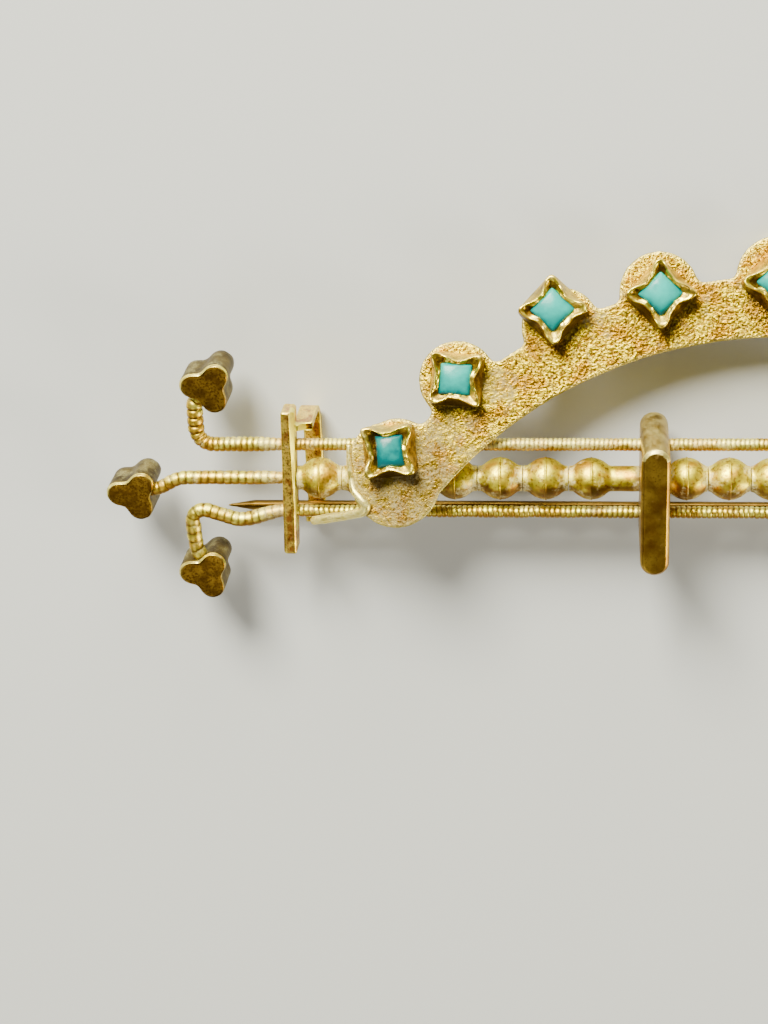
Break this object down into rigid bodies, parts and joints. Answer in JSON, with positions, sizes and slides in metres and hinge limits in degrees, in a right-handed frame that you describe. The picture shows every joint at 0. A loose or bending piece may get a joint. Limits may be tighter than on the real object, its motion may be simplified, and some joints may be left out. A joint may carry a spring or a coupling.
{
  "type": "bar pin",
  "caption": "Gold bar pin: three wires with trefoil ends, threaded beads and cross bands under a leaning arch set with square turquoises.",
  "frame": {"origin": "middle of the pin's box at the surface that it lies on", "axes": "+X along the bar, +Y from the bar towards the arch, +Z from the back of the pin to its face"},
  "size_m": [0.0644, 0.0176, 0.0061],
  "materials": {
    "ribbed_gold": "ribbed gold wire with pale deposits between the ribs",
    "bead_gold": "satin gold, pale with deposits on the upper sides",
    "stained_gold": "satin gold with brown and red stains",
    "bloomed_gold": "bloomed, granular gold",
    "stem_gold": "plain worn gold",
    "turquoise": "waxy polish"
  },
  "bodies": {
    "root": {"arch": "bloomed_gold", "bead_01": "bead_gold", "bead_02": "bead_gold", "bead_03": "bead_gold", "bead_04": "bead_gold", "bead_05": "bead_gold", "bead_06": "bead_gold", "bead_07": "bead_gold", "bead_08": "bead_gold", "bead_09": "bead_gold", "bead_10": "bead_gold", "bead_11": "bead_gold", "bead_12": "bead_gold", "bead_13": "bead_gold", "bead_14": "bead_gold", "bead_15": "bead_gold", "bead_16": "bead_gold", "bead_17": "bead_gold", "bead_18": "bead_gold", "bead_19": "bead_gold", "core_wire": "ribbed_gold", "cross_band_left": "stained_gold", "cross_band_right": "stained_gold", "end_plate_left": "stained_gold", "end_plate_right": "stained_gold", "lower_wire": "ribbed_gold", "pin_stem": "stem_gold", "stone_1": "turquoise", "stone_2": "turquoise", "stone_3": "turquoise", "stone_4": "turquoise", "stone_5": "turquoise", "stone_6": "turquoise", "stone_7": "turquoise", "stone_8": "turquoise", "stone_9": "turquoise", "upper_wire": "ribbed_gold"}
  },
  "joints": []
}
